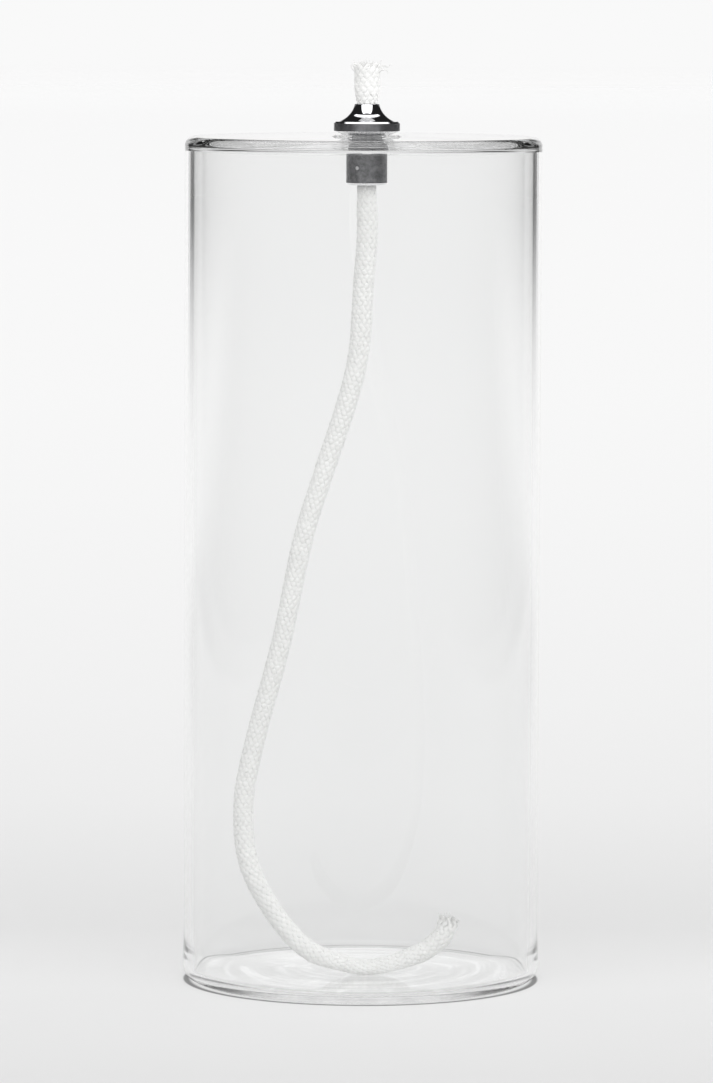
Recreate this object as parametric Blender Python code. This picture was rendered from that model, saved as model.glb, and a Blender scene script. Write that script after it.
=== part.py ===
"""Glass fuel burner: a closed glass cylinder, a drop-in metal wick holder and a round braided wick.

Metres, +Z up. The origin is the centre of the glass base, on the plane that the burner stands on.
The wick holder and the wick have their origins on the vertical axis of the hole in the top plate,
which is the axis they are lifted out along.
"""

import math

import bmesh
import bpy
from mathutils import Vector

MM = 0.001

# Clearance kept between pieces that touch or press together on the real burner.
GAP = 0.3 * MM

# Glass cylinder: a tube with a flat plate fused into each end.
GLASS_RADIUS = 40.0 * MM
GLASS_HEIGHT = 190.0 * MM
GLASS_WALL = 2.0 * MM
SHOULDER_CORNER = 2.0 * MM
FOOT_CORNER = 3.5 * MM
CEILING_CORNER = 1.2 * MM
FLOOR_CORNER = 1.5 * MM
FOOT_SWELL = 0.25 * MM
FOOT_SWELL_HEIGHT = 8.0 * MM

# Hole in the top plate, with a low fire-polished bead around it. It sits a little off the cylinder's axis.
HOLE_OFFSET = 0.7 * MM
HOLE_RADIUS = 5.3 * MM
HOLE_CORNER = 0.4 * MM
BEAD_WIDTH = 2.3 * MM
BEAD_HEIGHT = 0.4 * MM

# Wick holder. Heights are above the glass top plane. Below the flange a cone narrows to the sleeve's width
# and centres the holder on the bead.
SEAT_FOOT = 0.2 * MM
FLANGE_RADIUS = 7.4 * MM
FLANGE_BOTTOM = 1.3 * MM
FLANGE_THICKNESS = 2.1 * MM
FLANGE_CHAMFER = 0.15 * MM
FLANGE_TOP_CHAMFER = 0.35 * MM
FLARE_FOOT_RADIUS = 6.5 * MM
FLARE_HEIGHT = 3.9 * MM
FLARE_CURVE = 5.2 * MM
MOUTH_RADIUS = 2.8 * MM
BORE_RADIUS = 2.5 * MM
SPIGOT_RADIUS = 3.4 * MM
SPIGOT_DEPTH = 5.0 * MM
SLEEVE_RADIUS = 4.6 * MM
SLEEVE_DEPTH = 10.75 * MM
SLEEVE_CHAMFER = 0.5 * MM
VENT_RADIUS = 0.3 * MM
VENT_DEPTH = 6.9 * MM
VENT_TURN = math.radians(-28.0)

# Wick: a braided sheath round a straight core, both soft.
WICK_RADIUS = 2.2 * MM
WICK_TOP_RADIUS = 2.9 * MM
WICK_TOP_HEIGHT = 17.0 * MM
SHEATH_WALL = 0.65 * MM

# Where the wick's centre line passes as it hangs from the holder, swings out, lies on the glass floor and
# curls up again: x, y and z in millimetres in the glass cylinder's frame, from the holder down to the loose end.
WICK_HANG = (
    (0.7, 0.0, 179.0),
    (0.8, -0.2, 168.5),
    (-0.1, -0.6, 157.5),
    (-0.9, -1.3, 142.0),
    (-3.6, -1.9, 130.4),
    (-8.6, -3.0, 115.0),
    (-13.3, -4.2, 99.7),
    (-17.9, -6.0, 77.3),
    (-23.7, -8.0, 55.0),
    (-26.2, -9.4, 40.0),
    (-24.1, -10.8, 25.3),
    (-14.1, -12.6, 10.4),
    (-3.0, -13.0, 5.0),
    (5.1, -13.0, 4.8),
    (12.6, -12.7, 7.4),
    (17.8, -12.3, 11.0),
    (19.8, -11.8, 15.5),
)

GLASS_SEGMENTS = 64
METAL_SEGMENTS = 48
SHEATH_SIDES = 12
CORE_SIDES = 8
WICK_STATIONS = 44


def clear_scene():
    for old in list(bpy.data.objects):
        bpy.data.objects.remove(old, do_unlink=True)


def make_material(name, colour, roughness, metallic=0.0, transmission=0.0):
    material = bpy.data.materials.new(name)
    material.use_nodes = True
    shader = material.node_tree.nodes["Principled BSDF"]
    shader.inputs["Base Color"].default_value = (*colour, 1.0)
    shader.inputs["Roughness"].default_value = roughness
    shader.inputs["Metallic"].default_value = metallic
    shader.inputs["Transmission Weight"].default_value = transmission
    return material


def add_object(name, bm, material, location=(0.0, 0.0, 0.0)):
    """Turns a bmesh into a smooth-shaded object with its faces pointing out."""
    bmesh.ops.recalc_face_normals(bm, faces=bm.faces)
    mesh = bpy.data.meshes.new(name)
    bm.to_mesh(mesh)
    bm.free()
    mesh.shade_smooth()
    mesh.set_sharp_from_angle(angle=math.radians(30.0))
    mesh.materials.append(material)
    obj = bpy.data.objects.new(name, mesh)
    obj.location = location
    bpy.context.scene.collection.objects.link(obj)
    return obj


def arc(centre, radii, start, end, steps):
    """Points on a circle or an upright ellipse, from angle start to angle end in degrees, both included."""
    points = []
    for i in range(steps + 1):
        angle = math.radians(start + (end - start) * i / steps)
        points.append((centre[0] + radii[0] * math.cos(angle), centre[1] + radii[1] * math.sin(angle)))
    return points


def add_ring(bm, radius, z, segments, centre_x=0.0):
    ring = []
    for i in range(segments):
        angle = math.tau * i / segments
        ring.append(bm.verts.new((centre_x + radius * math.cos(angle), radius * math.sin(angle), z)))
    return ring


def join_rings(bm, lower, upper):
    count = len(lower)
    for i in range(count):
        j = (i + 1) % count
        bm.faces.new((lower[i], lower[j], upper[j], upper[i]))


def glass_outline():
    """(radius, height, shift in x) of the glass skin, from the base's middle, up the outside, in through the
    hole, and down the inside to the floor's middle."""
    swell_radius = GLASS_RADIUS + FOOT_SWELL
    foot = arc((swell_radius - FOOT_CORNER, FOOT_CORNER), (FOOT_CORNER,) * 2, -90, 0, 5)
    swell = []
    for share in (0.35, 0.65, 1.0):
        height = FOOT_CORNER + share * (FOOT_SWELL_HEIGHT - FOOT_CORNER)
        swell.append((GLASS_RADIUS + FOOT_SWELL * 0.5 * (1.0 + math.cos(math.pi * share)), height))
    shoulder_centre = (GLASS_RADIUS - SHOULDER_CORNER, GLASS_HEIGHT - SHOULDER_CORNER)
    shoulder = arc(shoulder_centre, (SHOULDER_CORNER,) * 2, 0, 90, 4)
    bead_centre = (HOLE_RADIUS + 0.5 * BEAD_WIDTH, GLASS_HEIGHT)
    bead = arc(bead_centre, (0.5 * BEAD_WIDTH, BEAD_HEIGHT), 0, 180, 8)
    hole_edge_centre = (HOLE_RADIUS + HOLE_CORNER, GLASS_HEIGHT - GLASS_WALL + HOLE_CORNER)
    hole_edge = arc(hole_edge_centre, (HOLE_CORNER,) * 2, 180, 270, 2)
    inner_radius = GLASS_RADIUS - GLASS_WALL
    ceiling_centre = (inner_radius - CEILING_CORNER, GLASS_HEIGHT - GLASS_WALL - CEILING_CORNER)
    ceiling = arc(ceiling_centre, (CEILING_CORNER,) * 2, 90, 0, 3)
    floor_centre = (inner_radius - FLOOR_CORNER, GLASS_WALL + FLOOR_CORNER)
    floor = arc(floor_centre, (FLOOR_CORNER,) * 2, 0, -90, 3)
    outline = [(r, z, 0.0) for r, z in foot + swell + shoulder]
    outline += [(r, z, HOLE_OFFSET) for r, z in bead + hole_edge]
    outline += [(r, z, 0.0) for r, z in ceiling + floor]
    return outline


def make_glass_body(material):
    bm = bmesh.new()
    rings = [add_ring(bm, r, z, GLASS_SEGMENTS, shift) for r, z, shift in glass_outline()]
    for lower, upper in zip(rings, rings[1:]):
        join_rings(bm, lower, upper)
    for ring in (rings[0], rings[-1]):
        middle = bm.verts.new((0.0, 0.0, ring[0].co.z))
        for i in range(GLASS_SEGMENTS):
            bm.faces.new((ring[i], ring[(i + 1) % GLASS_SEGMENTS], middle))
    return add_object("glass_body", bm, material)


def make_turned(name, outline, material):
    """A turned piece: a closed outline of (radius, height) points carried round the hole's axis."""
    bm = bmesh.new()
    rings = [add_ring(bm, r, z, METAL_SEGMENTS) for r, z in outline]
    for lower, upper in zip(rings, rings[1:] + rings[:1]):
        join_rings(bm, lower, upper)
    return add_object(name, bm, material, (HOLE_OFFSET, 0.0, GLASS_HEIGHT))


def flare_arc(steps=8):
    """The hollow curve of the trumpet, from the flange up to the mouth: the arc of radius FLARE_CURVE that
    joins the two and sags towards the axis."""
    foot = Vector((FLARE_FOOT_RADIUS, FLANGE_BOTTOM + FLANGE_THICKNESS))
    mouth = Vector((MOUTH_RADIUS, foot.y + FLARE_HEIGHT))
    chord = mouth - foot
    outward = Vector((chord.y, -chord.x)).normalized()
    rise = math.sqrt(FLARE_CURVE**2 - (0.5 * chord.length) ** 2)
    centre = 0.5 * (foot + mouth) + outward * rise
    start = math.degrees(math.atan2(foot.y - centre.y, foot.x - centre.x))
    end = math.degrees(math.atan2(mouth.y - centre.y, mouth.x - centre.x))
    turn = (end - start + 180.0) % 360.0 - 180.0
    return arc(centre, (FLARE_CURVE, FLARE_CURVE), start, start + turn, steps)


def make_burner_head(material):
    """Flange, seating cone, trumpet and spigot in one turned piece, bored through for the wick."""
    flange_top = FLANGE_BOTTOM + FLANGE_THICKNESS
    mouth_top = flange_top + FLARE_HEIGHT
    outline = [
        (BORE_RADIUS, -SPIGOT_DEPTH),
        (SPIGOT_RADIUS, -SPIGOT_DEPTH),
        (SPIGOT_RADIUS, SEAT_FOOT),
        (SLEEVE_RADIUS, SEAT_FOOT),
        (FLANGE_RADIUS - FLANGE_CHAMFER, FLANGE_BOTTOM),
        (FLANGE_RADIUS, FLANGE_BOTTOM + FLANGE_CHAMFER),
        (FLANGE_RADIUS, flange_top - FLANGE_TOP_CHAMFER),
        (FLANGE_RADIUS - FLANGE_TOP_CHAMFER, flange_top),
    ]
    outline += flare_arc()
    outline.append((BORE_RADIUS, mouth_top))
    return make_turned("burner_head", outline, material)


def make_guide_sleeve(material):
    """Thin tube pressed on the spigot, which keeps the holder upright in the hole."""
    inner_radius = SPIGOT_RADIUS + GAP
    top = SEAT_FOOT - GAP
    outline = [
        (inner_radius, -SLEEVE_DEPTH),
        (SLEEVE_RADIUS - SLEEVE_CHAMFER, -SLEEVE_DEPTH),
        (SLEEVE_RADIUS, -SLEEVE_DEPTH + SLEEVE_CHAMFER),
        (SLEEVE_RADIUS, top),
        (inner_radius, top),
    ]
    sleeve = make_turned("guide_sleeve", outline, material)
    cut_vent(sleeve)
    return sleeve


def cut_vent(sleeve):
    """Small breather hole through one side of the sleeve, below the spigot's end."""
    bm = bmesh.new()
    wall_middle = 0.5 * (SPIGOT_RADIUS + GAP + SLEEVE_RADIUS)
    bmesh.ops.create_cone(
        bm,
        cap_ends=True,
        segments=12,
        radius1=VENT_RADIUS,
        radius2=VENT_RADIUS,
        depth=2.0 * (SLEEVE_RADIUS - SPIGOT_RADIUS),
    )
    cutter = add_object("vent_cutter", bm, sleeve.data.materials[0])
    cutter.rotation_euler = (math.radians(90.0), 0.0, VENT_TURN)
    cutter.location = (
        HOLE_OFFSET + wall_middle * math.sin(VENT_TURN),
        -wall_middle * math.cos(VENT_TURN),
        GLASS_HEIGHT - VENT_DEPTH,
    )
    cutter.hide_render = True
    cutter.display_type = "WIRE"
    cut = sleeve.modifiers.new("vent", "BOOLEAN")
    cut.operation = "DIFFERENCE"
    cut.solver = "EXACT"
    cut.object = cutter


def smooth_line(points, steps):
    """A Catmull-Rom curve through the points, with the given number of steps between two of them."""
    ends = [2 * points[0] - points[1]] + list(points) + [2 * points[-1] - points[-2]]
    line = []
    for before, start, end, after in zip(ends, ends[1:], ends[2:], ends[3:]):
        for i in range(steps):
            t = i / steps
            line.append(
                0.5
                * (
                    2 * start
                    + (end - before) * t
                    + (2 * before - 5 * start + 4 * end - after) * t**2
                    + (3 * start - before - 3 * end + after) * t**3
                )
            )
    return line + [points[-1]]


def even_stations(line, count):
    """Points at equal distances along a line, both ends included."""
    lengths = [0.0]
    for a, b in zip(line, line[1:]):
        lengths.append(lengths[-1] + (b - a).length)
    stations = []
    i = 0
    for k in range(count):
        goal = lengths[-1] * k / (count - 1)
        while i < len(line) - 2 and lengths[i + 1] < goal:
            i += 1
        share = (goal - lengths[i]) / (lengths[i + 1] - lengths[i])
        stations.append(line[i].lerp(line[i + 1], share))
    return stations


def wick_stations():
    """(centre, across, forward, radius) along the wick, from its top end to its loose end, in the frame of the
    hole. The two directions span the cross-section and turn with the wick without twisting."""
    hole = Vector((HOLE_OFFSET, 0.0, GLASS_HEIGHT))
    hang = [Vector(p) * MM - hole for p in WICK_HANG]
    top = [Vector((0.0, 0.0, WICK_TOP_HEIGHT)), Vector((0.0, 0.0, 0.5 * WICK_TOP_HEIGHT))]
    centres = even_stations(smooth_line(top + hang, 12), WICK_STATIONS)
    mouth_height = FLANGE_BOTTOM + FLANGE_THICKNESS + FLARE_HEIGHT
    stations = []
    across = Vector((1.0, 0.0, 0.0))
    for i, centre in enumerate(centres):
        along = centres[min(i + 1, WICK_STATIONS - 1)] - centres[max(i - 1, 0)]
        forward = along.cross(across).normalized()
        across = forward.cross(along).normalized()
        spread = max(0.0, (centre.z - mouth_height) / (WICK_TOP_HEIGHT - mouth_height))
        radius = WICK_RADIUS + (WICK_TOP_RADIUS - WICK_RADIUS) * math.sin(0.5 * math.pi * spread)
        stations.append((centre, across, forward, radius))
    return stations


def sweep_rings(bm, stations, sides, thinner_by):
    rings = []
    for centre, across, forward, radius in stations:
        ring = []
        for i in range(sides):
            angle = math.tau * i / sides
            spoke = across * math.cos(angle) + forward * math.sin(angle)
            ring.append(bm.verts.new(centre + spoke * (radius - thinner_by)))
        rings.append(ring)
    for lower, upper in zip(rings, rings[1:]):
        join_rings(bm, lower, upper)
    return rings


def make_wick(sheath_material, core_material):
    stations = wick_stations()
    axis_point = (HOLE_OFFSET, 0.0, GLASS_HEIGHT)

    bm = bmesh.new()
    outer = sweep_rings(bm, stations, SHEATH_SIDES, 0.0)
    inner = sweep_rings(bm, stations, SHEATH_SIDES, SHEATH_WALL)
    join_rings(bm, outer[0], inner[0])
    join_rings(bm, outer[-1], inner[-1])
    add_object("wick_sheath", bm, sheath_material, axis_point)

    bm = bmesh.new()
    rings = sweep_rings(bm, stations, CORE_SIDES, SHEATH_WALL + GAP)
    bm.faces.new(rings[0])
    bm.faces.new(rings[-1])
    add_object("wick_core", bm, core_material, axis_point)


def main():
    clear_scene()
    glass = make_material("clear_glass", (0.97, 0.98, 0.98), 0.02, transmission=1.0)
    polished = make_material("polished_steel", (0.50, 0.50, 0.52), 0.12, metallic=1.0)
    turned = make_material("turned_steel", (0.36, 0.36, 0.38), 0.35, metallic=1.0)
    braid = make_material("white_braid", (0.90, 0.90, 0.89), 0.90)
    yarn = make_material("white_yarn", (0.86, 0.86, 0.85), 0.95)
    make_glass_body(glass)
    make_burner_head(polished)
    make_guide_sleeve(turned)
    make_wick(braid, yarn)


main()
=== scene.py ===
"""Looks of the glass fuel burner: clear glass cylinder, turned metal wick holder and white braided wick."""

import math
import random

import bpy
import numpy as np
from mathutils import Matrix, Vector


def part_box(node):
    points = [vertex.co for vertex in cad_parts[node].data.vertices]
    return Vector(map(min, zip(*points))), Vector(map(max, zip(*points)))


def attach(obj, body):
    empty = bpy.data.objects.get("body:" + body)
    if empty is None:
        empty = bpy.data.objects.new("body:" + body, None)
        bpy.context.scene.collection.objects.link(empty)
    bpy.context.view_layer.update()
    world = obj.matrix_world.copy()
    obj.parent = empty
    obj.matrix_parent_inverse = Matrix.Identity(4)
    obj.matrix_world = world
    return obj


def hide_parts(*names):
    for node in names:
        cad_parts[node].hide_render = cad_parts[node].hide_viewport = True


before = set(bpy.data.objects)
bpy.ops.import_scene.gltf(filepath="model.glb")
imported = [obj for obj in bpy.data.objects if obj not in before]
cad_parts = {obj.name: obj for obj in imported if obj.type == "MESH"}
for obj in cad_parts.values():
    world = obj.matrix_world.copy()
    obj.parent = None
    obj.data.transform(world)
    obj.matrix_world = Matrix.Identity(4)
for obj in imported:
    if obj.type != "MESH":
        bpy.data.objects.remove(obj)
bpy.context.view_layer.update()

MM = 0.001

glass_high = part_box("glass_body")[1]
head_low, head_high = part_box("burner_head")
sleeve_low, sleeve_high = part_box("guide_sleeve")

# Driving sizes, in metres. The frame gives the outside, and the rest is the pieces' walls and corners.
FOOT_SWELL = 0.25 * MM
FOOT_CORNER = 3.5 * MM
SWELL_FROM = 4.5 * MM
SWELL_TO = 8.5 * MM
SWELL_ROUNDING = 30.0 * MM
SHOULDER_CORNER = 2.0 * MM
CEILING_CORNER = 1.2 * MM
FLOOR_CORNER = 1.5 * MM
GLASS_RADIUS = glass_high.x - FOOT_SWELL
GLASS_WALL = 2.0 * MM
BEAD_HEIGHT = 0.4 * MM
BEAD_FOOT_RADIUS = 8.0 * MM
BEAD_TOP_RADIUS = 7.2 * MM
BEAD_CORNER = 0.8 * MM
GLASS_TOP = glass_high.z - BEAD_HEIGHT
HOLE_RADIUS = 5.3 * MM
HOLE_TOP_CORNER = 0.9 * MM
HOLE_BOTTOM_CORNER = 0.8 * MM
# Inside this radius the plate's rings stand round the hole's axis, and outside it round the cylinder's.
PLATE_SEAM = 20.0 * MM

HOLE_X = 0.5 * (head_low.x + head_high.x)
FLANGE_RADIUS = 0.5 * (head_high.x - head_low.x)
SEAT_FOOT = GLASS_TOP + 0.2 * MM
FLANGE_BOTTOM = GLASS_TOP + 1.3 * MM
FLANGE_TOP = FLANGE_BOTTOM + 2.1 * MM
FLANGE_TOP_EDGE = 0.38 * MM
MOUTH_TOP = head_high.z
MOUTH_LIP = 0.1 * MM
SPIGOT_END = head_low.z
BORE_SEAM = SPIGOT_END + 4.0 * MM
MOUTH_RADIUS = 2.8 * MM
BORE_RADIUS = 2.5 * MM
SPIGOT_RADIUS = 3.4 * MM
FLARE_FOOT_RADIUS = 6.5 * MM
FLARE_CURVE = 5.2 * MM
SLEEVE_RADIUS = 0.5 * (sleeve_high.x - sleeve_low.x)
SLEEVE_BORE = 3.7 * MM
SLEEVE_CHAMFER = 0.5 * MM
VENT_RADIUS = 0.3 * MM
VENT_RIM = 0.12 * MM
VENT_HEIGHT = GLASS_TOP - 6.9 * MM
VENT_TURN = math.radians(-28.0)

WICK_RADIUS = 2.2 * MM
WICK_TOP_RADIUS = 2.9 * MM
# The wick above this height is straight and slim, because it can be drawn up through the bore.
FEED_END = 176.5 * MM

GLASS_SEGMENTS = 384
METAL_SEGMENTS = 192
GLASS_CORNER_STEPS = 24

# The wick's centre line from the frayed tip to the loose end, in millimetres.
WICK_LINE = (
    (0.7, 0.0, 206.6),
    (0.7, 0.0, 197.5),
    (0.7, 0.0, 189.0),
    (0.7, 0.0, 177.0),
    (0.9, -0.2, 168.0),
    (0.1, -0.6, 157.5),
    (-0.9, -1.3, 142.0),
    (-3.6, -1.9, 130.4),
    (-8.6, -3.0, 115.0),
    (-13.3, -4.2, 99.7),
    (-17.9, -6.0, 77.3),
    (-23.7, -8.0, 55.0),
    (-26.2, -9.4, 40.0),
    (-24.1, -10.8, 25.3),
    (-14.1, -12.6, 10.4),
    (-3.0, -13.0, 4.8),
    (5.1, -13.0, 4.6),
    (12.6, -12.7, 7.4),
    (17.8, -12.3, 11.0),
    (19.8, -11.8, 15.5),
)


# ---------------------------------------------------------------- shader helpers

UPRIGHT = (0.0, 0.0, 1.0)
LEVEL = (1.0, 1.0, 0.0)
# Most of a noise texture's values lie between these.
NOISE_SPAN = (0.3, 0.7)


def new_tree(owner):
    owner.use_nodes = True
    owner.node_tree.nodes.clear()
    return owner.node_tree


def node(tree, kind, inputs=None, **settings):
    """Adds a shader node with its settings, and fills its inputs with values or other nodes' outputs."""
    made = tree.nodes.new("ShaderNode" + kind)
    for key, value in settings.items():
        setattr(made, key, value)
    for key, value in (inputs or {}).items():
        if isinstance(value, bpy.types.NodeSocket):
            tree.links.new(value, made.inputs[key])
        else:
            made.inputs[key].default_value = value
    return made


def calc(tree, operation, *values):
    return node(tree, "Math", dict(enumerate(values)), operation=operation).outputs[0]


def ramp(tree, value, low, high, to_low=0.0, to_high=1.0):
    """Smooth step from to_low at low to to_high at high."""
    inputs = {"Value": value, "From Min": low, "From Max": high, "To Min": to_low, "To Max": to_high}
    return node(tree, "MapRange", inputs, interpolation_type="SMOOTHSTEP").outputs["Result"]


def spread(tree, value, low, high, to_low, to_high):
    """Straight step from to_low at low to to_high at high."""
    inputs = {"Value": value, "From Min": low, "From Max": high, "To Min": to_low, "To Max": to_high}
    return node(tree, "MapRange", inputs).outputs["Result"]


def mix(tree, factor, a, b):
    return node(tree, "Mix", {"Factor": factor, "A": a, "B": b}).outputs["Result"]


def product(tree, first, *others):
    for other in others:
        first = calc(tree, "MULTIPLY", first, other)
    return first


def vector_pair(tree, operation, a, b):
    return node(tree, "VectorMath", {0: a, 1: b}, operation=operation).outputs["Vector"]


def unit(tree, vector):
    return node(tree, "VectorMath", {0: vector}, operation="NORMALIZE").outputs["Vector"]


def length(tree, vector):
    return node(tree, "VectorMath", {0: vector}, operation="LENGTH").outputs["Value"]


def shaded(tree, colour, factor):
    return node(tree, "VectorMath", {0: colour, "Scale": factor}, operation="SCALE").outputs["Vector"]


def split(tree, vector, axis):
    return node(tree, "SeparateXYZ", {"Vector": vector}).outputs[axis]


def joined(tree, x, y, z):
    return node(tree, "CombineXYZ", {"X": x, "Y": y, "Z": z}).outputs["Vector"]


def on_matt(tree):
    """1 for light on its way to a matt surface."""
    return calc(tree, "GREATER_THAN", node(tree, "LightPath").outputs["Diffuse Depth"], 0.5)


def show(tree, shader, kind="OutputMaterial"):
    tree.links.new(shader, node(tree, kind).inputs["Surface"])


def dot(tree, a, b):
    return node(tree, "VectorMath", {0: a, 1: b}, operation="DOT_PRODUCT").outputs["Value"]


def noise(tree, vector, scale, detail=2.0, roughness=0.5):
    inputs = {"Vector": vector, "Scale": scale, "Detail": detail, "Roughness": roughness}
    return node(tree, "TexNoise", inputs).outputs["Fac"]


def scaled(tree, vector, factors):
    return vector_pair(tree, "MULTIPLY", vector, factors)


def studio_axes(tree):
    """The camera's right and its level heading, in world space: the studio stands square to the camera."""
    turned = node(tree, "VectorTransform", {"Vector": (1.0, 0.0, 0.0)},
                  vector_type="VECTOR", convert_from="CAMERA", convert_to="WORLD").outputs["Vector"]
    right = unit(tree, scaled(tree, turned, LEVEL))
    return right, vector_pair(tree, "CROSS_PRODUCT", UPRIGHT, right)


# ---------------------------------------------------------------- studio

TABLE_HALF_WIDTH = 0.67
TABLE_FRONT = -0.49
TABLE_SOFT = 0.03
FLOOR_RADIUS = 14.0
FLOOR_DROP = 0.05 * MM
# What stands round the table: white paper behind, a dark board at each side of it, and a grey room.
BACKDROP_WHITE = 0.947
BACKDROP_EDGE = 25.0
BACKDROP_SOFT = 1.0
BOARD_DARK = 0.09
BOARD_EDGE = 35.0
BOARD_SOFT = 5.0
ROOM_SIDES = 0.50
ROOM_FRONT = 0.58
# Cosines of the angles to the camera's heading between which the room goes from sides to front.
ROOM_SPAN = (0.2, -0.8)
# How much of that brightness is left at the far end of the room.
ROOM_FADE = 0.70
# Sines of the elevations where the walls end and where they start to fade.
WALL_TOP = 0.30
WALL_FADE = 0.12
CEILING = 0.02
# The light over the camera: its brightness, how far round it starts, and its elevations, in degrees.
SOFT_LIGHT = 2.4
SOFT_LIGHT_TURN = (124.0, 130.0)
SOFT_LIGHT_LOW = 24.0
SOFT_LIGHT_HIGH = 72.0
SOFT_LIGHT_EDGE = 1.5
# The overhead panel: its brightness, and its soft edges on a level plane one unit up.
PANEL_LIGHT = 2.4
PANEL_FRONT = (-0.15, -0.11)
PANEL_BACK = (0.26, 0.12)
PANEL_SIDE = (0.80, 0.72)
PANEL_BOW = 0.8
# Sines of the elevations at which the panel fades out.
PANEL_LOW = (0.1, 0.2)
# The ceiling that shows only through glass: its brightness, its sides and its lower edge, as sines.
GLASS_CEILING = 0.70
GLASS_CEILING_SIDE = (0.85, 0.55)
GLASS_CEILING_LOW = (0.12, 0.30)
# The brightest that anything in the studio looks through the glass, and directly.
GLASS_LIMIT = 0.95
OPEN_LIMIT = 10.0
# The dome that lights matt surfaces: its even light, and how much brighter it is to the front and right.
DOME_LIGHT = 1.10
DOME_FRONT = 0.65
DOME_RIGHT = 0.36
# The table: the colour of its matt share and the light on it, the painted shade that falls off to the
# sides, and how much of its brightness reaches other matt surfaces.
TABLE_MATT = 0.30
TABLE_MATT_LIGHT = 0.388
TABLE_SIDE_SHADE = 0.10
TABLE_SIDE_SPAN = (0.20, 0.50)
TABLE_SIDE_DEPTH = (1.0, 0.5)
TABLE_TO_MATT = 0.85
# Distances from the burner over which the table turns into the paper, and the paper and the room darken.
PAPER_START = (0.3, 0.9)
PAPER_FALL = (5.0, 1.2)
ROOM_FALL = (1.0, 3.5)
FLOOR_FADE = (FLOOR_RADIUS - 6.0, FLOOR_RADIUS - 0.5)
# The dark line under the foot's rounded edge.
FOOT_SHADE = 0.35
FOOT_SHADE_OUTSIDE = (GLASS_RADIUS + 0.3 * MM, GLASS_RADIUS - 0.3 * MM)
FOOT_SHADE_INSIDE = (GLASS_RADIUS - 1.9 * MM, GLASS_RADIUS - 0.9 * MM)
# Arcs and rays of light under the glass: how often they change outwards and round, and where they stop.
CAUSTIC_LIGHT = 0.36
CAUSTIC_RAYS = 0.5
CAUSTIC_DIM = 0.15
ARC_RATES = (420.0, 0.8, 0.0)
ARC_EDGES = (0.42, 0.70)
RAY_RATES = (60.0, 9.0, 3.0)
RAY_EDGES = (0.50, 0.72)
CAUSTIC_EDGE = (GLASS_RADIUS - 2.0 * MM, GLASS_RADIUS - 6.0 * MM)

# Painted light: how bright the glowing white table looks at each distance behind the burner, in metres.
PAINTED_TABLE_LIGHT = (
    (-0.50, 0.680),
    (-0.25, 0.720),
    (-0.10, 0.800),
    (-0.04, 0.825),
    (-0.01, 0.840),
    (0.03, 0.815),
    (0.08, 0.785),
    (0.14, 0.795),
    (0.32, 0.850),
    (0.56, 0.880),
    (0.88, 0.900),
    (1.33, 0.920),
    (2.00, 0.935),
    (3.50, 0.940),
)

# Lens and sensor in millimetres, place in metres and turns in degrees. It looks down a little, and leans a
# hair to one side.
CAMERA_LENS = 219.0
CAMERA_SENSOR = 36.0
CAMERA_PLACE = (0.0, -1.476, 0.229)
CAMERA_TURNS = (84.97, -0.228, 0.069)


def degrees_ramp(tree, cosine, low, high):
    """0 to 1 as the angle of this cosine goes from low to high degrees."""
    return ramp(tree, cosine, math.cos(math.radians(low)), math.cos(math.radians(high)))


def surroundings(tree, forward, depth=ROOM_FADE):
    """Brightness of the room by direction. forward is the cosine of the angle to the camera's heading, and
    depth multiplies the room's own brightness."""
    room = product(tree, spread(tree, forward, *ROOM_SPAN, ROOM_SIDES, ROOM_FRONT), depth)
    board = degrees_ramp(tree, forward, BOARD_EDGE + BOARD_SOFT, BOARD_EDGE - BOARD_SOFT)
    room = mix(tree, board, room, BOARD_DARK)
    return mix(tree, backdrop(tree, forward), room, BACKDROP_WHITE)


def backdrop(tree, forward):
    return degrees_ramp(tree, forward, BACKDROP_EDGE + BACKDROP_SOFT, BACKDROP_EDGE - BACKDROP_SOFT)


def between(tree, up, low, high, soft):
    """1 where the elevation is between two angles in degrees, with soft ends. up is its sine."""
    rise = ramp(tree, up, math.sin(math.radians(low - soft)), math.sin(math.radians(low + soft)))
    fall = ramp(tree, up, math.sin(math.radians(high + soft)), math.sin(math.radians(high - soft)))
    return product(tree, rise, fall)


def overhead_panel(tree, direction, right, ahead, up):
    """A soft light under the ceiling, bowed a little."""
    height = calc(tree, "MAXIMUM", up, PANEL_LOW[0])
    side = calc(tree, "ABSOLUTE", calc(tree, "DIVIDE", dot(tree, direction, right), height))
    back = calc(tree, "DIVIDE", dot(tree, direction, ahead), height)
    bow = calc(tree, "MULTIPLY_ADD", product(tree, side, side), -PANEL_BOW, back)
    length_wise = product(tree, ramp(tree, bow, *PANEL_BACK), ramp(tree, bow, *PANEL_FRONT))
    return product(tree, length_wise, ramp(tree, side, *PANEL_SIDE), ramp(tree, up, *PANEL_LOW), PANEL_LIGHT)


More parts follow.
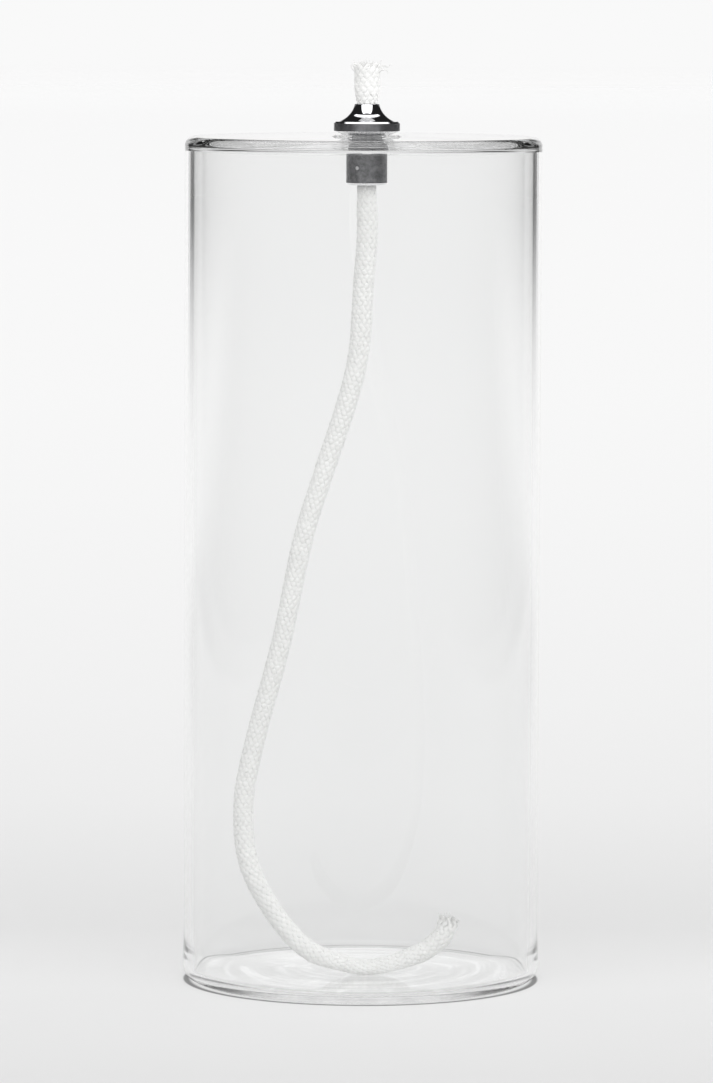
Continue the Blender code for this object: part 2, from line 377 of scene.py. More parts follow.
def build_world():
    world = bpy.data.worlds.new("studio")
    bpy.context.scene.world = world
    tree = new_tree(world)
    direction = node(tree, "TexCoord").outputs["Generated"]
    right, ahead = studio_axes(tree)
    up = dot(tree, direction, UPRIGHT)
    # A little over 1, so that it stays above zero straight up.
    level = calc(tree, "SQRT", calc(tree, "SUBTRACT", 1.0001, product(tree, up, up)))
    forward = calc(tree, "DIVIDE", dot(tree, direction, ahead), level)
    # Walls up to a low height, and above them darkness, with a large soft light over the camera and a panel
    # overhead.
    wall = product(tree, surroundings(tree, forward), ramp(tree, up, WALL_TOP, WALL_FADE))
    lights = product(tree, degrees_ramp(tree, forward, *SOFT_LIGHT_TURN),
                     between(tree, up, SOFT_LIGHT_LOW, SOFT_LIGHT_HIGH, SOFT_LIGHT_EDGE), SOFT_LIGHT)
    # Light that reaches the eye through glass also finds a grey ceiling before and behind, but not beside.
    sideways = calc(tree, "DIVIDE", calc(tree, "ABSOLUTE", dot(tree, direction, right)), level)
    through_glass = node(tree, "LightPath").outputs["Is Transmission Ray"]
    seen_in_glass = product(tree, ramp(tree, sideways, *GLASS_CEILING_SIDE),
                            ramp(tree, up, *GLASS_CEILING_LOW), through_glass)
    lights = calc(tree, "MULTIPLY_ADD", seen_in_glass, GLASS_CEILING, lights)
    lights = calc(tree, "ADD", overhead_panel(tree, direction, right, ahead, up), lights)
    light = calc(tree, "MAXIMUM", calc(tree, "ADD", wall, lights), CEILING)
    limit = calc(tree, "MULTIPLY_ADD", through_glass, GLASS_LIMIT - OPEN_LIMIT, OPEN_LIMIT)
    light = calc(tree, "MINIMUM", light, limit)
    # Matt surfaces are lit by a smooth dome, brightest at the right in front.
    key = vector_pair(tree, "ADD", shaded(tree, right, DOME_RIGHT), shaded(tree, ahead, -DOME_FRONT))
    dome = calc(tree, "ADD", dot(tree, direction, key), DOME_LIGHT)
    light = mix(tree, on_matt(tree), light, dome)
    background = node(tree, "Background", {"Color": (1.0, 1.0, 1.0, 1.0), "Strength": light})
    show(tree, background.outputs[0], "OutputWorld")


def shadow_of_foot(tree, far):
    """1 on the open table, and dark in the narrow gap under the glass foot's rounded edge."""
    gap = product(tree, ramp(tree, far, *FOOT_SHADE_OUTSIDE), ramp(tree, far, *FOOT_SHADE_INSIDE))
    return calc(tree, "MULTIPLY_ADD", gap, FOOT_SHADE - 1.0, 1.0)


def light_under_glass(tree, place):
    """Soft arcs and rays of light that the glass throws on the table under it."""
    radius = length(tree, scaled(tree, place, LEVEL))
    turn = calc(tree, "ARCTAN2", split(tree, place, "Y"), split(tree, place, "X"))
    polar = joined(tree, radius, turn, 1.0)
    arcs = ramp(tree, noise(tree, scaled(tree, polar, ARC_RATES), 1.0, 2.0, 0.6), *ARC_EDGES)
    rays = ramp(tree, noise(tree, scaled(tree, polar, RAY_RATES), 1.0, 2.0, 0.6), *RAY_EDGES)
    mixed = calc(tree, "MULTIPLY_ADD", rays, CAUSTIC_RAYS, calc(tree, "SUBTRACT", arcs, CAUSTIC_DIM))
    return product(tree, mixed, ramp(tree, radius, *CAUSTIC_EDGE), CAUSTIC_LIGHT)


def painted_light_by_depth(tree, depth):
    """The table's painted light by its distance behind the burner."""
    first, last = PAINTED_TABLE_LIGHT[0][0], PAINTED_TABLE_LIGHT[-1][0]
    tones = node(tree, "ValToRGB", {"Fac": spread(tree, depth, first, last, 0.0, 1.0)})
    stops = tones.color_ramp.elements
    while len(stops) < len(PAINTED_TABLE_LIGHT):
        stops.new(0.5)
    for stop, (distance, tone) in zip(stops, PAINTED_TABLE_LIGHT):
        stop.position = (distance - first) / (last - first)
        stop.color = (tone, tone, tone, 1.0)
    return tones.outputs["Color"]


def table_material():
    """A white table whose glow is painted light, also lit by the dome, with the room drawn round its edges.
    """
    material = bpy.data.materials.new("white_table")
    tree = new_tree(material)
    place = node(tree, "NewGeometry").outputs["Position"]
    right, ahead = studio_axes(tree)
    side = calc(tree, "ABSOLUTE", dot(tree, place, right))
    depth = dot(tree, place, ahead)
    far = calc(tree, "SQRT", calc(tree, "ADD", product(tree, side, side), product(tree, depth, depth)))
    forward = calc(tree, "DIVIDE", depth, calc(tree, "MAXIMUM", far, MM))
    # A table with sharp edges near the burner, and paper that falls off slowly far behind it.
    sharp = product(tree, ramp(tree, side, TABLE_HALF_WIDTH + TABLE_SOFT, TABLE_HALF_WIDTH - TABLE_SOFT),
                    ramp(tree, depth, TABLE_FRONT - TABLE_SOFT, TABLE_FRONT + TABLE_SOFT))
    slow = calc(tree, "MAXIMUM", ramp(tree, far, *PAPER_FALL), backdrop(tree, forward))
    paper = mix(tree, ramp(tree, depth, *PAPER_START), sharp, slow)
    # Painted shade: the glow falls off towards the table's sides.
    fall = product(tree, ramp(tree, side, *TABLE_SIDE_SPAN, 0.0, TABLE_SIDE_SHADE),
                   ramp(tree, depth, *TABLE_SIDE_DEPTH))
    # The glow is painted light: the studio's light on the table, by distance behind the burner.
    white = calc(tree, "SUBTRACT", calc(tree, "SUBTRACT", painted_light_by_depth(tree, depth), TABLE_MATT_LIGHT), fall)
    room = surroundings(tree, forward, ramp(tree, far, *ROOM_FALL, 1.0, ROOM_FADE))
    tone = calc(tree, "ADD", mix(tree, paper, room, white), light_under_glass(tree, place))
    shade = shadow_of_foot(tree, far)
    to_matt = calc(tree, "MULTIPLY_ADD", on_matt(tree), TABLE_TO_MATT - 1.0, 1.0)
    grey = product(tree, paper, TABLE_MATT, shade)
    colour = node(tree, "CombineColor", {"Red": grey, "Green": grey, "Blue": grey}).outputs[0]
    strength = product(tree, tone, to_matt, shade)
    glow = node(tree, "Emission", {"Color": (1.0, 1.0, 1.0, 1.0), "Strength": strength})
    matt = node(tree, "BsdfDiffuse", {"Color": colour})
    lit = node(tree, "AddShader", {0: glow.outputs[0], 1: matt.outputs[0]})
    blank = node(tree, "BsdfTransparent")
    faded = node(tree, "MixShader", {0: ramp(tree, far, *FLOOR_FADE), 1: lit.outputs[0], 2: blank.outputs[0]})
    show(tree, faded.outputs[0])
    return material


def build_floor():
    mesh = bpy.data.meshes.new("floor")
    r = FLOOR_RADIUS
    mesh.from_pydata([(-r, -r, 0.0), (r, -r, 0.0), (r, r, 0.0), (-r, r, 0.0)], [], [(0, 1, 2, 3)])
    mesh.materials.append(table_material())
    floor = bpy.data.objects.new("floor", mesh)
    floor.location.z = -FLOOR_DROP
    bpy.context.scene.collection.objects.link(floor)


def build_camera():
    camera = bpy.data.cameras.new("camera")
    camera.lens = CAMERA_LENS
    camera.sensor_width = CAMERA_SENSOR
    holder = bpy.data.objects.new("camera", camera)
    holder.location = CAMERA_PLACE
    holder.rotation_euler = [math.radians(turn) for turn in CAMERA_TURNS]
    bpy.context.scene.collection.objects.link(holder)
    bpy.context.scene.camera = holder


# ---------------------------------------------------------------- turned shapes


def arc_points(centre, start, end, turn, steps):
    """Outline points (radius, height, normal) round a centre, from the spoke start to the spoke end."""
    size = start.length
    angle = turn * math.acos(max(-1.0, min(1.0, start.dot(end) / size**2)))
    points = []
    for k in range(steps + 1):
        cos, sin = math.cos(angle * k / steps), math.sin(angle * k / steps)
        spoke = Vector((start.x * cos - start.y * sin, start.x * sin + start.y * cos))
        points.append((centre.x + spoke.x, centre.y + spoke.y, turn * spoke.x / size, turn * spoke.y / size))
    return points


def rounded(corners, steps):
    """Outline points through corners given as (radius, height, rounding). The solid lies to the left of the
    line. Each point holds its own normal, so that flat stretches shade flat and roundings shade round."""
    spots = [Vector(corner[:2]) for corner in corners]
    line = []
    for i, corner in enumerate(corners):
        here = spots[i]
        if i in (0, len(corners) - 1):
            run = (spots[1] - spots[0] if i == 0 else here - spots[i - 1]).normalized()
            line.append((here.x, here.y, run.y, -run.x))
            continue
        back = (spots[i - 1] - here).normalized()
        on = (spots[i + 1] - here).normalized()
        half = 0.5 * math.acos(max(-1.0, min(1.0, back.dot(on))))
        centre = here + (back + on).normalized() * (corner[2] / math.sin(half))
        reach = corner[2] / math.tan(half)
        turn = 1.0 if on.cross(back) > 0.0 else -1.0
        line += arc_points(centre, here + back * reach - centre, here + on * reach - centre, turn, steps)
    return line


def revolve(name, outline, segments, shifts=None, closed=False):
    """Carries outline points round a vertical axis. A point on the axis becomes one vertex.
    shifts moves each ring's centre along X."""
    shifts = shifts or [0.0] * len(outline)
    verts, normals, rings = [], [], []
    for (radius, z, out, up), shift in zip(outline, shifts):
        first = len(verts)
        if radius < 1e-7:
            verts.append((shift, 0.0, z))
            normals.append((0.0, 0.0, up))
            rings.append([first] * segments)
            continue
        for i in range(segments):
            a = math.tau * i / segments
            verts.append((shift + radius * math.cos(a), radius * math.sin(a), z))
            normals.append((out * math.cos(a), out * math.sin(a), up))
        rings.append(list(range(first, first + segments)))
    faces = []
    pairs = list(zip(rings, rings[1:]))
    if closed:
        pairs.append((rings[-1], rings[0]))
    for lower, upper in pairs:
        for i in range(segments):
            j = (i + 1) % segments
            quad = (lower[i], lower[j], upper[j], upper[i])
            faces.append(tuple(dict.fromkeys(quad)))
    obj = add_mesh(name, verts, faces)
    obj.data.normals_split_custom_set_from_vertices(normals)
    return obj


def add_mesh(name, verts, faces):
    mesh = bpy.data.meshes.new(name)
    mesh.from_pydata(verts, [], faces)
    mesh.shade_smooth()
    obj = bpy.data.objects.new(name, mesh)
    bpy.context.scene.collection.objects.link(obj)
    return obj


# ---------------------------------------------------------------- glass


def glass_material():
    material = bpy.data.materials.new("clear_glass")
    tree = new_tree(material)
    place = node(tree, "TexCoord").outputs["Object"]
    # Long faint draw lines up the tube, and broad waves.
    streaks = noise(tree, scaled(tree, place, (60.0, 60.0, 4.0)), 1.0, 2.0)
    waves = noise(tree, scaled(tree, place, (18.0, 18.0, 9.0)), 1.0, 1.0)
    uneven = calc(tree, "ADD", product(tree, streaks, 0.3), waves)
    bump = node(tree, "Bump", {"Height": uneven, "Strength": 1.0, "Distance": 0.004 * MM}).outputs["Normal"]
    shader = node(tree, "BsdfPrincipled", {
        "Base Color": (0.99, 0.992, 0.991, 1.0),
        "Roughness": 0.0,
        "IOR": 1.474,
        "Transmission Weight": 1.0,
        "Normal": bump,
    })
    show(tree, shader.outputs[0])
    return material


def build_glass():
    swell = GLASS_RADIUS + FOOT_SWELL
    inner = GLASS_RADIUS - GLASS_WALL
    ceiling = GLASS_TOP - GLASS_WALL
    outer_part = rounded([
        (0.0, 0.0, 0.0),
        (swell, 0.0, FOOT_CORNER),
        (swell, SWELL_FROM, SWELL_ROUNDING),
        (GLASS_RADIUS, SWELL_TO, SWELL_ROUNDING),
        (GLASS_RADIUS, GLASS_TOP, SHOULDER_CORNER),
        (PLATE_SEAM, GLASS_TOP, 0.0),
    ], GLASS_CORNER_STEPS)
    hole_part = rounded([
        (PLATE_SEAM, GLASS_TOP, 0.0),
        (BEAD_FOOT_RADIUS, GLASS_TOP, BEAD_CORNER),
        (BEAD_TOP_RADIUS, GLASS_TOP + BEAD_HEIGHT, BEAD_CORNER),
        (HOLE_RADIUS, GLASS_TOP + BEAD_HEIGHT, HOLE_TOP_CORNER),
        (HOLE_RADIUS, ceiling, HOLE_BOTTOM_CORNER),
        (PLATE_SEAM, ceiling, 0.0),
    ], GLASS_CORNER_STEPS)[1:-1]
    inner_part = rounded([
        (PLATE_SEAM, ceiling, 0.0),
        (inner, ceiling, CEILING_CORNER),
        (inner, GLASS_WALL, FLOOR_CORNER),
        (0.0, GLASS_WALL, 0.0),
    ], GLASS_CORNER_STEPS)
    outline = outer_part + hole_part + inner_part
    shifts = [0.0] * len(outer_part) + [HOLE_X] * len(hole_part) + [0.0] * len(inner_part)
    glass = revolve("glass_cylinder", outline, GLASS_SEGMENTS, shifts)
    glass.data.materials.append(glass_material())
    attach(glass, "reservoir")
    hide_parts("glass_body")


# ---------------------------------------------------------------- metal

# Finishes: colour, roughness, how far reflections spread across the turning lines, depth of those lines, and
# the share of specks and of blotches.
TRUMPET_FINISH = ((0.66, 0.66, 0.68), 0.06, 0.0, 0.001 * MM, 0.05, 0.0)
RIM_FINISH = ((0.24, 0.24, 0.25), 0.45, 1.0, 0.008 * MM, 0.3, 0.2)
SEAT_FINISH = ((0.85, 0.85, 0.86), 0.25, 0.5, 0.003 * MM, 0.1, 0.0)
SLEEVE_FINISH = ((0.27, 0.27, 0.28), 0.45, 1.0, 0.010 * MM, 1.5, 0.35)
CUT_FINISH = ((0.92, 0.92, 0.93), 0.15, 0.0, 0.001 * MM, 0.1, 0.0)
# Sizes of the turning lines, bands, specks and blotches, as noise scales per metre.
LINE_SCALE = 9000.0
BAND_SCALE = 1500.0
SPECK_SCALE = 2600.0
BLOTCH_SCALE = 900.0
# A hair's breadth, which keeps two edges apart, and a finish on its own side of an edge.
HAIR = 0.02 * MM


def around_axis(tree, place):
    """Distance from the holder's axis, and the direction round it."""
    spoke = scaled(tree, vector_pair(tree, "ADD", place, (-HOLE_X, 0.0, 0.0)), LEVEL)
    return length(tree, spoke), unit(tree, vector_pair(tree, "CROSS_PRODUCT", UPRIGHT, spoke))


def turned_normal(tree, place, radius, line_depth, speckle):
    """Fine lines round the axis, chosen by height and radius, with a few specks."""
    along = joined(tree, radius, split(tree, place, "Z"), 0.0)
    lines = noise(tree, along, LINE_SCALE, 2.0, 0.6)
    bands = noise(tree, along, BAND_SCALE, 2.0, 0.6)
    spots = noise(tree, place, SPECK_SCALE, 3.0, 0.7)
    relief = calc(tree, "MULTIPLY_ADD", lines, 0.5, bands)
    relief = calc(tree, "MULTIPLY_ADD", spots, speckle, relief)
    inputs = {"Height": relief, "Strength": 1.0, "Distance": line_depth}
    return node(tree, "Bump", inputs).outputs["Normal"], spots


def metal_shader(tree, place, colour, roughness, brushed, line_depth, speckle, mottle):
    """Turned steel in one of the finishes above."""
    radius, around = around_axis(tree, place)
    bump, spots = turned_normal(tree, place, radius, line_depth, speckle)
    across = vector_pair(tree, "CROSS_PRODUCT", node(tree, "NewGeometry").outputs["Normal"], around)
    rough = spread(tree, spots, *NOISE_SPAN, roughness * 0.8, roughness * 1.25)
    blotches = noise(tree, place, BLOTCH_SCALE, 3.0, 0.6)
    tone = spread(tree, blotches, *NOISE_SPAN, 1.0 - mottle, 1.0 + mottle)
    return node(tree, "BsdfPrincipled", {
        "Base Color": shaded(tree, colour, tone),
        "Metallic": 1.0,
        "Roughness": rough,
        "Anisotropic": brushed,
        "Tangent": across,
        "Normal": bump,
    }).outputs[0]


def polished_steel():
    """The head: a polished trumpet, and a rim and seat left as they came off the lathe."""
    material = bpy.data.materials.new("polished_steel")
    tree = new_tree(material)
    place = node(tree, "TexCoord").outputs["Object"]
    radius, _ = around_axis(tree, place)
    trumpet = metal_shader(tree, place, *TRUMPET_FINISH)
    rim = metal_shader(tree, place, *RIM_FINISH)
    seat = metal_shader(tree, place, *SEAT_FINISH)
    on_rim = calc(tree, "GREATER_THAN", radius, FLANGE_RADIUS - HAIR)
    under = calc(tree, "LESS_THAN", split(tree, place, "Z"), FLANGE_BOTTOM + HAIR)
    mixed = node(tree, "MixShader", {0: on_rim, 1: trumpet, 2: rim}).outputs[0]
    show(tree, node(tree, "MixShader", {0: under, 1: mixed, 2: seat}).outputs[0])
    return material


def turned_steel():
    """The sleeve: satin, with a bright cut edge at its lower end and round the vent."""
    material = bpy.data.materials.new("turned_steel")
    tree = new_tree(material)
    place = node(tree, "TexCoord").outputs["Object"]
    satin = metal_shader(tree, place, *SLEEVE_FINISH)
    bright = metal_shader(tree, place, *CUT_FINISH)
    cut_edge = calc(tree, "LESS_THAN", split(tree, place, "Z"), sleeve_low.z + SLEEVE_CHAMFER)
    vent = (HOLE_X + SLEEVE_RADIUS * math.sin(VENT_TURN), -SLEEVE_RADIUS * math.cos(VENT_TURN), VENT_HEIGHT)
    away = node(tree, "VectorMath", {0: place, 1: vent}, operation="DISTANCE").outputs["Value"]
    at_vent = calc(tree, "LESS_THAN", away, VENT_RADIUS + VENT_RIM)
    mask = calc(tree, "MAXIMUM", cut_edge, at_vent)
    show(tree, node(tree, "MixShader", {0: mask, 1: satin, 2: bright}).outputs[0])
    return material


def flare_points(steps):
    """The trumpet's hollow curve from the flange up to the mouth, an arc that sags towards the axis."""
    foot = Vector((FLARE_FOOT_RADIUS, FLANGE_TOP))
    mouth = Vector((MOUTH_RADIUS, MOUTH_TOP - MOUTH_LIP))
    chord = mouth - foot
    outward = Vector((chord.y, -chord.x)).normalized()
    centre = 0.5 * (foot + mouth) + outward * math.sqrt(FLARE_CURVE**2 - (0.5 * chord.length) ** 2)
    return arc_points(centre, foot - centre, mouth - centre, -1.0, steps)


def build_head():
    lower = rounded([
        (BORE_RADIUS, BORE_SEAM, 0.0),
        (BORE_RADIUS, SPIGOT_END, 0.15 * MM),
        (SPIGOT_RADIUS, SPIGOT_END, 0.2 * MM),
        (SPIGOT_RADIUS, SEAT_FOOT, 0.05 * MM),
        (SLEEVE_RADIUS, SEAT_FOOT, 0.05 * MM),
        (FLANGE_RADIUS, FLANGE_BOTTOM, 0.10 * MM),
        (FLANGE_RADIUS, FLANGE_TOP - FLANGE_TOP_EDGE, 0.04 * MM),
        (FLANGE_RADIUS - FLANGE_TOP_EDGE, FLANGE_TOP, 0.04 * MM),
        (FLARE_FOOT_RADIUS + HAIR, FLANGE_TOP, 0.0),
    ], 10)
    lip = rounded([
        (MOUTH_RADIUS, MOUTH_TOP - MOUTH_LIP, 0.0),
        (MOUTH_RADIUS, MOUTH_TOP, 0.08 * MM),
        (BORE_RADIUS, MOUTH_TOP, 0.08 * MM),
        (BORE_RADIUS, BORE_SEAM, 0.0),
    ], 6)[1:-1]
    outline = lower + flare_points(32) + lip
    shifts = [HOLE_X] * len(outline)
    head = revolve("holder_flange_and_trumpet", outline, METAL_SEGMENTS, shifts, closed=True)
    head.data.materials.append(polished_steel())
    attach(head, "burner")
    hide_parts("burner_head")


def build_sleeve():
    bottom, top = sleeve_low.z, sleeve_high.z
    outline = rounded([
        (SLEEVE_BORE, 0.5 * (bottom + top), 0.0),
        (SLEEVE_BORE, bottom, 0.1 * MM),
        (SLEEVE_RADIUS - SLEEVE_CHAMFER, bottom, 0.12 * MM),
        (SLEEVE_RADIUS, bottom + SLEEVE_CHAMFER, 0.15 * MM),
        (SLEEVE_RADIUS, top, 0.08 * MM),
        (SLEEVE_BORE, top, 0.05 * MM),
        (SLEEVE_BORE, 0.55 * bottom + 0.45 * top, 0.0),
    ], 6)
    # The outer wall gets a fine row above and below the vent, where its faces are cut open.
    outer = next(i for i, point in enumerate(outline) if point[0] > SLEEVE_RADIUS - 1e-8)
    rows = [VENT_HEIGHT + VENT_RADIUS * share for share in (-2.0, -1.0, 0.0, 1.0, 2.0)]
    outline[outer + 1:outer + 1] = [(SLEEVE_RADIUS, z, 1.0, 0.0) for z in rows]
    shifts = [HOLE_X] * len(outline)
    sleeve = revolve("holder_guide_sleeve", outline, METAL_SEGMENTS, shifts, closed=True)
    cut_vent(sleeve)
    sleeve.data.materials.append(turned_steel())
    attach(sleeve, "burner")
    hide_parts("guide_sleeve")


def cut_vent(sleeve):
    """Cuts the breather hole through the sleeve's wall, with a small countersink at its outer end."""
    count = 24
    spoke = Vector((math.sin(VENT_TURN), -math.cos(VENT_TURN), 0.0))
    across = Vector((math.cos(VENT_TURN), math.sin(VENT_TURN), 0.0))
    sink = SLEEVE_RADIUS - VENT_RIM
    flare = 3.0 * VENT_RIM
    rings = ((SLEEVE_BORE - 0.6 * MM, VENT_RADIUS), (sink, VENT_RADIUS), (sink + flare, VENT_RADIUS + flare))
    verts = []
    for reach, radius in rings:
        for i in range(count):
            a = math.tau * i / count
            spot = spoke * reach + across * radius * math.cos(a)
            verts.append((HOLE_X + spot.x, spot.y, VENT_HEIGHT + radius * math.sin(a)))
    faces = [tuple(range(count)), tuple(range(3 * count - 1, 2 * count - 1, -1))]
    for first in (0, count):
        for i in range(count):
            here, there = first + i, first + (i + 1) % count
            faces.append((here, here + count, there + count, there))
    cutter = add_mesh("vent_cutter", verts, faces)
    cut = sleeve.modifiers.new("vent", "BOOLEAN")
    cut.operation = "DIFFERENCE"
    cut.solver = "EXACT"
    cut.object = cutter
    bpy.context.view_layer.update()
    mesh = bpy.data.meshes.new_from_object(sleeve.evaluated_get(bpy.context.evaluated_depsgraph_get()))
    sleeve.modifiers.clear()
    sleeve.data = mesh
    bpy.data.objects.remove(cutter)
    mesh.set_sharp_from_angle(angle=math.radians(40.0))


# ---------------------------------------------------------------- wick

WICK_SEED = 11
WICK_STATIONS = 1200
# The braid: yarns in each direction, length of a row, size of a yarn, and how far it dips under the others.
STRANDS = 10
ROW = 1.0 * MM
YARN_HALF_WIDTH = 0.57 * MM
YARN_HALF_THICK = 0.24 * MM
WEAVE_DEPTH = 0.15 * MM
FRAY = 1.6 * MM
# How much fuller the wick hangs under the sleeve, and how much slimmer it is lower down.
HANGING_SWELL = 0.20 * MM
LOWER_SHRINK = 0.12 * MM
# Fibres that stand off the braid, and how far, in millimetres. In the stretch that can be drawn into the
# bore they lie close.
FUZZ_FIBRES = 1500
FUZZ_LIFT = (0.15, 0.40)
FUZZ_RADIUS = 0.014 * MM
# The yarns inside the braid that stick out of its two ends.
TIP_YARNS = 90
TIP_YARN_LENGTH = 1.9 * MM
LOOSE_END_YARNS = 120
LOOSE_END_YARN_LENGTH = 1.6 * MM
YARN_RADII = (0.08, 0.17)
CURL_RADIUS = 0.08 * MM
CURL_COPIES = 3

# Yarns that curl out of the frayed tip, in millimetres from the tip's middle.
TIP_CURLS = (
    ((1.6, -0.6, -1.9), (2.5, -0.9, -1.1), (3.5, -1.0, -0.8), (4.6, -0.8, -1.1), (5.3, -0.7, -0.5)),
    ((1.9, -0.5, -2.9), (2.9, -0.9, -2.0), (3.8, -1.1, -1.6), (4.5, -1.0, -2.1), (4.5, -0.9, -2.9)),
    ((-1.9, -0.8, -2.4), (-2.7, -1.0, -1.3), (-3.2, -1.0, -0.5), (-3.4, -0.9, 0.1)),
    ((-2.0, 0.3, -2.6), (-2.9, 0.2, -1.9), (-3.4, 0.1, -1.2), (-3.5, 0.1, -0.6)),
)


def smooth_line(points, steps):
    """Catmull-Rom curve through the points."""
    p = np.array(points, float)
    p = np.vstack([2 * p[0] - p[1], p, 2 * p[-1] - p[-2]])
    out = []
    for a, b, c, d in zip(p, p[1:], p[2:], p[3:]):
        square = 2 * a - 5 * b + 4 * c - d
        cube = 3 * b - a - 3 * c + d
        for i in range(steps):
            t = i / steps
            out.append(0.5 * (2 * b + (c - a) * t + square * t**2 + cube * t**3))
    out.append(p[-2])
    return np.array(out)


class WickLine:
    """The wick's centre line by length from its top, with a cross-section frame that doesn't twist."""

    def __init__(self):
        line = smooth_line(WICK_LINE, 40) * MM
        lengths = np.concatenate([[0.0], np.cumsum(np.linalg.norm(np.diff(line, axis=0), axis=1))])
        self.length = lengths[-1]
        even = np.linspace(0.0, self.length, WICK_STATIONS)
        self.centre = np.column_stack([np.interp(even, lengths, line[:, k]) for k in range(3)])
        self.along = np.gradient(self.centre, axis=0)
        self.along /= np.linalg.norm(self.along, axis=1)[:, None]
        self.across = np.zeros_like(self.centre)
        across = np.array((1.0, 0.0, 0.0))
        for i, along in enumerate(self.along):
            across = across - along * across.dot(along)
            across /= np.linalg.norm(across)
            self.across[i] = across
        self.forward = np.cross(self.along, self.across)
        self.even = even

    def at(self, s):
        """Centre, across, forward and along at lengths s."""
        def pick(rows):
            return np.column_stack([np.interp(s, self.even, rows[:, k]) for k in range(3)])
        return pick(self.centre), pick(self.across), pick(self.forward), pick(self.along)

    def radius(self, s):
        """Full in the open at the top, slim in and under the bore, and a little fuller again below that."""
        height = self.at(s)[0][:, 2]
        open_top = np.clip((height - MOUTH_TOP) / (4.0 * MM), 0.0, 1.0)
        hanging = np.clip((FEED_END - height) / (3.0 * MM), 0.0, 1.0)
        lower = np.clip((150.0 * MM - height) / (60.0 * MM), 0.0, 1.0)
        swell = (WICK_TOP_RADIUS - WICK_RADIUS) * np.sin(0.5 * math.pi * open_top)
        return WICK_RADIUS + swell + HANGING_SWELL * hanging - LOWER_SHRINK * lower


def tube(centres, sides_a, sides_b, half_a, half_b, sides):
    """Vertices and faces of a closed tube with an oval section along a line of points."""
    count = len(centres)
    angles = np.arange(sides) * math.tau / sides
    ring = (np.cos(angles)[None, :, None] * (sides_a * half_a[:, None])[:, None, :]
            + np.sin(angles)[None, :, None] * (sides_b * half_b[:, None])[:, None, :])
    verts = (centres[:, None, :] + ring).reshape(-1, 3)
    index = np.arange(count * sides).reshape(count, sides)
    nxt = np.roll(index, -1, axis=1)
    quads = np.stack([index[:-1], nxt[:-1], nxt[1:], index[1:]], axis=-1).reshape(-1, 4)
    caps = [tuple(index[0][::-1].tolist()), tuple(index[-1].tolist())]
    return verts, [tuple(quad) for quad in quads.tolist()], caps


def join_tubes(name, tubes):
    verts, faces, first = [], [], 0
    for tube_verts, quads, caps in tubes:
        verts.append(tube_verts)
        faces += [tuple(i + first for i in face) for face in quads + caps]
        first += len(tube_verts)
    return add_mesh(name, np.vstack(verts).tolist(), faces)


def braid_strand(line, hand, index, rng):
    """One yarn of the braid: a helix round the wick, over the other hand's yarns in every second row."""
    start = rng.uniform(0.1, 1.0) * FRAY
    end = line.length - rng.uniform(0.0, 0.6) * FRAY
    s = np.arange(start, end, ROW / 5.0)
    centre, across, forward, _ = line.at(s)
    angle = hand * math.tau * (index / STRANDS + s / (2.0 * ROW * STRANDS))
    weave = hand * np.cos(math.pi * s / ROW)
    # Where the braid comes apart at both ends, its yarns open outwards.
    loose = np.clip(1.0 - np.minimum(s, line.length - s) / (2.0 * FRAY), 0.0, 1.0) ** 2
    wobble = 0.02 * MM * np.sin(s / (2.7 * MM) + rng.uniform(0.0, math.tau))
    radius = line.radius(s) - YARN_HALF_THICK - WEAVE_DEPTH * (1.0 - weave) + wobble
    radius = radius + loose * rng.uniform(0.0, 0.7) * MM
    spoke = across * np.cos(angle)[:, None] + forward * np.sin(angle)[:, None]
    path = centre + spoke * radius[:, None]
    heading = np.gradient(path, axis=0)
    heading /= np.linalg.norm(heading, axis=1)[:, None]
    wide = np.cross(heading, spoke)
    wide /= np.linalg.norm(wide, axis=1)[:, None]
    thick = np.cross(wide, heading)
    swell = 1.0 + 0.05 * np.sin(s / (1.9 * MM) + rng.uniform(0.0, math.tau))
    half_width = YARN_HALF_WIDTH * swell * line.radius(s) / WICK_RADIUS * (1.0 - 0.5 * loose)
    half_thick = YARN_HALF_THICK * (1.0 - 0.4 * loose)
    return tube(path, wide, thick, half_width, half_thick, 8)


def loose_yarn(points, radius, sides=5):
    """A thin yarn through a few points, thinner towards its end."""
    path = smooth_line(points, 6)
    heading = np.gradient(path, axis=0)
    heading /= np.linalg.norm(heading, axis=1)[:, None]
    side = np.cross(heading, (0.31, 0.87, 0.39))
    side /= np.linalg.norm(side, axis=1)[:, None]
    other = np.cross(heading, side)
    thickness = radius * np.linspace(1.0, 0.35, len(path))
    return tube(path, side, other, thickness, thickness, sides)


def frayed_end(line, s, outward, count, shown, rng):
    """Yarn ends that stand out of a cut end. outward is 1 at the wick's loose end and -1 at its tip."""
    centre, across, forward, along = (row[0] for row in line.at(np.array([s])))
    full = float(line.radius(np.array([s]))[0])
    buried = 1.5 * MM
    yarns = []
    for _ in range(count):
        share = math.sqrt(rng.random())
        a = rng.uniform(0.0, math.tau)
        spoke = across * math.cos(a) + forward * math.sin(a)
        root = centre + spoke * (share * (full - 0.35 * MM)) - along * outward * buried
        lean = spoke * share * rng.uniform(0.0, 0.45) + np.array([rng.gauss(0.0, 0.16) for _ in range(3)])
        reach = (buried + shown * rng.uniform(0.45, 1.0)) * (1.0 - 0.15 * share)
        points = [root]
        for step in range(1, 5):
            part = step / 4.0
            points.append(root + (along * outward + lean * part) * reach * part)
        yarns.append(loose_yarn(points, rng.uniform(*YARN_RADII) * MM))
    return yarns


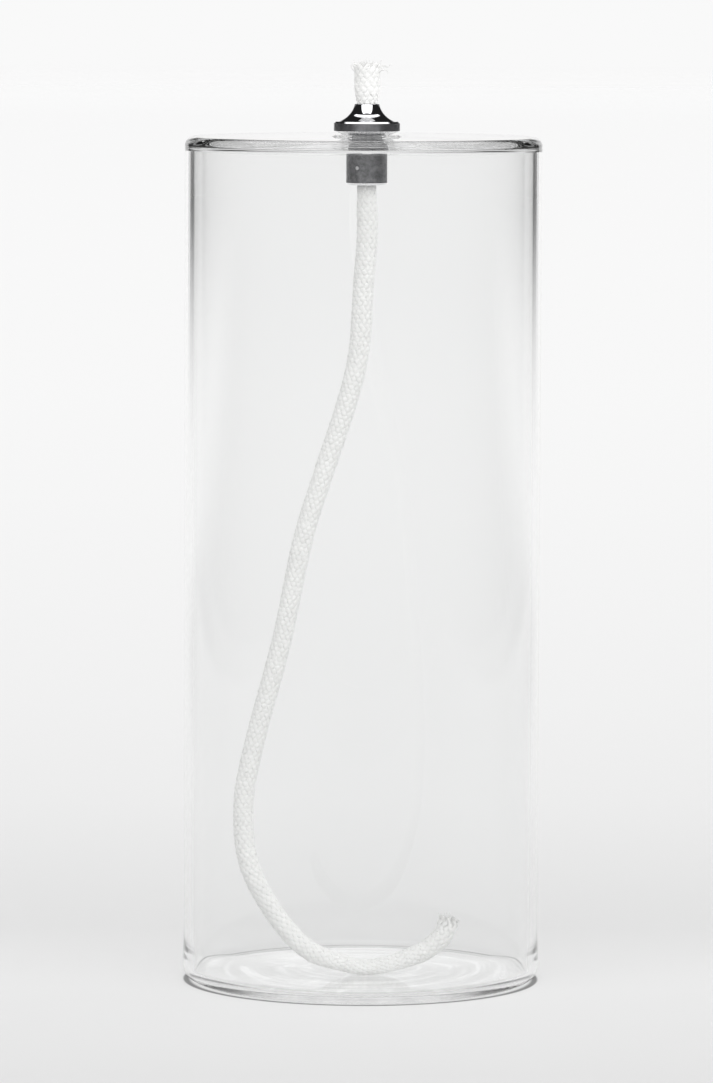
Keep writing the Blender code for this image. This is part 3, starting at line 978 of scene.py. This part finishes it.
def fuzz(line, rng):
    """Short fibres that stand off the braid."""
    fibres = []
    for _ in range(FUZZ_FIBRES):
        s = rng.uniform(2.0 * MM, line.length - 1.0 * MM)
        centre, across, forward, along = (row[0] for row in line.at(np.array([s])))
        full = float(line.radius(np.array([s]))[0])
        a = rng.uniform(0.0, math.tau)
        spoke = across * math.cos(a) + forward * math.sin(a)
        sideways = np.cross(along, spoke)
        run = along * rng.uniform(-0.5, 0.5) + sideways * rng.uniform(-0.4, 0.4)
        root = centre + spoke * (full - 0.15 * MM)
        lift = rng.uniform(*FUZZ_LIFT) if centre[2] < FEED_END else FUZZ_LIFT[0]
        middle = root + (spoke * lift + run * 0.5) * MM
        end = root + (spoke * lift * rng.uniform(0.2, 1.0) + run) * MM
        fibres.append(loose_yarn([root, middle, end], FUZZ_RADIUS, 3))
    return fibres


def cotton_material(name, colour):
    material = bpy.data.materials.new(name)
    tree = new_tree(material)
    place = node(tree, "TexCoord").outputs["Object"]
    fibres = noise(tree, place, 5200.0, 3.0, 0.7)
    bump = node(tree, "Bump", {"Height": fibres, "Strength": 0.6, "Distance": 0.06 * MM}).outputs["Normal"]
    shade = spread(tree, noise(tree, place, 500.0, 2.0), *NOISE_SPAN, 0.94, 1.0)
    # Painted shade: the colour darkens a little towards the lower end.
    shade = product(tree, shade, ramp(tree, split(tree, place, "Z"), 0.0, 0.16, 0.86, 1.0))
    shader = node(tree, "BsdfPrincipled", {
        "Base Color": shaded(tree, colour, shade),
        "Roughness": 0.85,
        "Sheen Weight": 0.2,
        "Normal": bump,
    })
    show(tree, shader.outputs[0])
    return material


def build_wick():
    line = WickLine()
    rng = random.Random(WICK_SEED)
    tubes = []
    for index in range(STRANDS):
        for hand in (1.0, -1.0):
            tubes.append(braid_strand(line, hand, index, rng))
    tubes += fuzz(line, rng)
    sheath = join_tubes("wick_braid", tubes)
    sheath.data.materials.append(cotton_material("white_braid", (0.88, 0.88, 0.87)))
    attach(sheath, "wick")
    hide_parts("wick_sheath")

    s = np.linspace(1.0 * MM, line.length - 1.0 * MM, 260)
    centre, across, forward, along = line.at(s)
    radius = line.radius(s) - 2.0 * YARN_HALF_THICK - 0.6 * WEAVE_DEPTH
    tubes = [tube(centre, across, forward, radius, radius, 16)]
    tubes += frayed_end(line, 1.2 * MM, -1.0, TIP_YARNS, TIP_YARN_LENGTH, rng)
    tubes += frayed_end(line, line.length - 0.8 * MM, 1.0, LOOSE_END_YARNS, LOOSE_END_YARN_LENGTH, rng)
    tip = line.at(np.array([0.0]))[0][0]
    for curl in TIP_CURLS:
        for _ in range(CURL_COPIES):
            shift = np.array([rng.gauss(0.0, 0.10) for _ in range(3)])
            tubes.append(loose_yarn([tip + (np.array(point) + shift) * MM for point in curl], CURL_RADIUS))
    core = join_tubes("wick_core_yarns", tubes)
    core.data.materials.append(cotton_material("white_yarn", (0.86, 0.86, 0.85)))
    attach(core, "wick")
    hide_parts("wick_core")


# ---------------------------------------------------------------- scene

GLASS_BOUNCES = 96


def set_look():
    scene = bpy.context.scene
    scene.view_settings.view_transform = "Standard"
    scene.view_settings.look = "None"
    # Light that runs along inside the glass plate needs many bounces to get out.
    scene.cycles.max_bounces = GLASS_BOUNCES
    scene.cycles.transmission_bounces = GLASS_BOUNCES
    scene.cycles.glossy_bounces = GLASS_BOUNCES
    scene.cycles.transparent_max_bounces = 16
    scene.cycles.blur_glossy = 0.0
    scene.cycles.use_denoising = True


set_look()
build_world()
build_floor()
build_camera()
build_glass()
build_head()
build_sleeve()
build_wick()
